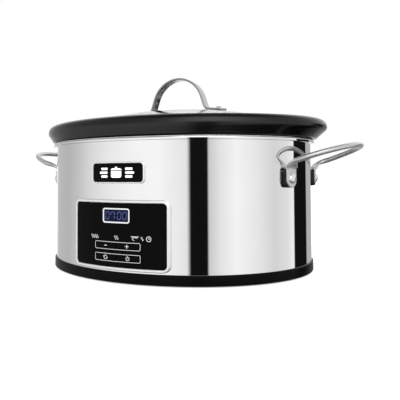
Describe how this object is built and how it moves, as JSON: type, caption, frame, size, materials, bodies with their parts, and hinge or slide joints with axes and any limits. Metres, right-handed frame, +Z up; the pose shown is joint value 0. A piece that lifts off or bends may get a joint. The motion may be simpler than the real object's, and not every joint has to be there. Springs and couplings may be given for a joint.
{
  "type": "slow cooker",
  "caption": "Oval slow cooker: polished steel housing with a curved control panel and bent bar handles, lift-out black stoneware crock, and a domed glass lid with a steel strap handle.",
  "frame": {"origin": "on the floor, under the middle of the body, between the rubber feet", "axes": "+X along the body's length towards the right-hand handle, -Y towards the front with the control panel, +Z up"},
  "size_m": [0.478, 0.289, 0.2483],
  "materials": {
    "polished_steel": "polished stainless steel sheet",
    "plinth_plastic": "satin black moulded plastic",
    "zinc_sheet": "zinc-plated sheet",
    "foot_rubber": "soft black rubber",
    "screw_steel": "plated steel",
    "well_aluminium": "satin spun aluminium",
    "mica_band": "heating wire on a mica and glass band",
    "glass_fibre": "needled glass fibre",
    "fuse_ceramic": "white ceramic sleeve",
    "wire_rubber": "silicone insulated wire",
    "gland_plastic": "black moulded plastic",
    "bright_trim": "bright chrome trim",
    "panel_gloss": "gloss black",
    "display_trim": "pale grey gloss",
    "display_glass": "dark blue display window",
    "board_green": "green solder mask",
    "lamp_lens": "clear lamp lens",
    "key_gloss": "gloss black keys with pale signs",
    "badge_gloss": null,
    "handle_steel": "satin polished steel bar",
    "spacer_plastic": "black moulded plastic",
    "rivet_steel": "polished steel",
    "crock_glaze": "gloss black glaze on stoneware",
    "lid_glass": "clear tempered glass",
    "lid_steel": "polished stainless steel"
  },
  "bodies": {
    "housing": {"outer_shell": "polished_steel", "plinth_ring": "plinth_plastic", "bottom_plate": "zinc_sheet", "rubber_feet": "foot_rubber", "plinth_screws": "screw_steel", "tie_rods": "screw_steel", "heating_well": "well_aluminium", "heater_band": "mica_band", "heater_clamp": "screw_steel", "insulation_wrap": "glass_fibre", "temperature_sensor": "well_aluminium", "sensor_bracket": "zinc_sheet", "thermal_fuse": "fuse_ceramic", "fuse_clip": "zinc_sheet", "supply_wires": "wire_rubber", "cord_gland": "gland_plastic", "gland_nut": "gland_plastic", "panel_frame": "bright_trim", "panel_face": "panel_gloss", "display_frame": "display_trim", "display_window": "display_glass", "display_module": "gland_plastic", "control_board": "board_green", "tact_switches": "gland_plastic", "mode_lamps": "lamp_lens", "panel_tray": "gland_plastic", "board_screws": "screw_steel", "badge_frame": "bright_trim", "badge_plate": "badge_gloss", "handle_left": "handle_steel", "handle_right": "handle_steel", "handle_spacers": "spacer_plastic", "handle_rivets": "rivet_steel"},
    "crock_body": {"crock": "crock_glaze"},
    "lid": {"lid_glass": "lid_glass", "lid_rim": "lid_steel", "lid_handle": "lid_steel", "lid_washers": "foot_rubber", "lid_screws": "rivet_steel", "vent_grommet": "lid_steel"},
    "key_minus_body": {"key_minus": "key_gloss"},
    "key_plus_body": {"key_plus": "key_gloss"},
    "key_select_body": {"key_select": "key_gloss"},
    "key_power_body": {"key_power": "key_gloss"}
  },
  "joints": [
    {"name": "crock_lift", "type": "slide", "parent": "housing", "child": "crock_body", "axis": [0, 0, 1], "range_m": [0, 0.16]},
    {"name": "lid_lift", "type": "slide", "parent": "crock_body", "child": "lid", "axis": [0, 0, 1], "range_m": [0, 0.1]},
    {"name": "key_minus_press", "type": "slide", "parent": "housing", "child": "key_minus_body", "axis": [0, 1, 0], "range_m": [0, 0.0006], "stiffness_N_per_m": 1500},
    {"name": "key_plus_press", "type": "slide", "parent": "housing", "child": "key_plus_body", "axis": [0, 1, 0], "range_m": [0, 0.0006], "stiffness_N_per_m": 1500},
    {"name": "key_select_press", "type": "slide", "parent": "housing", "child": "key_select_body", "axis": [0, 1, 0], "range_m": [0, 0.0006], "stiffness_N_per_m": 1500},
    {"name": "key_power_press", "type": "slide", "parent": "housing", "child": "key_power_body", "axis": [0, 1, 0], "range_m": [0, 0.0006], "stiffness_N_per_m": 1500}
  ]
}
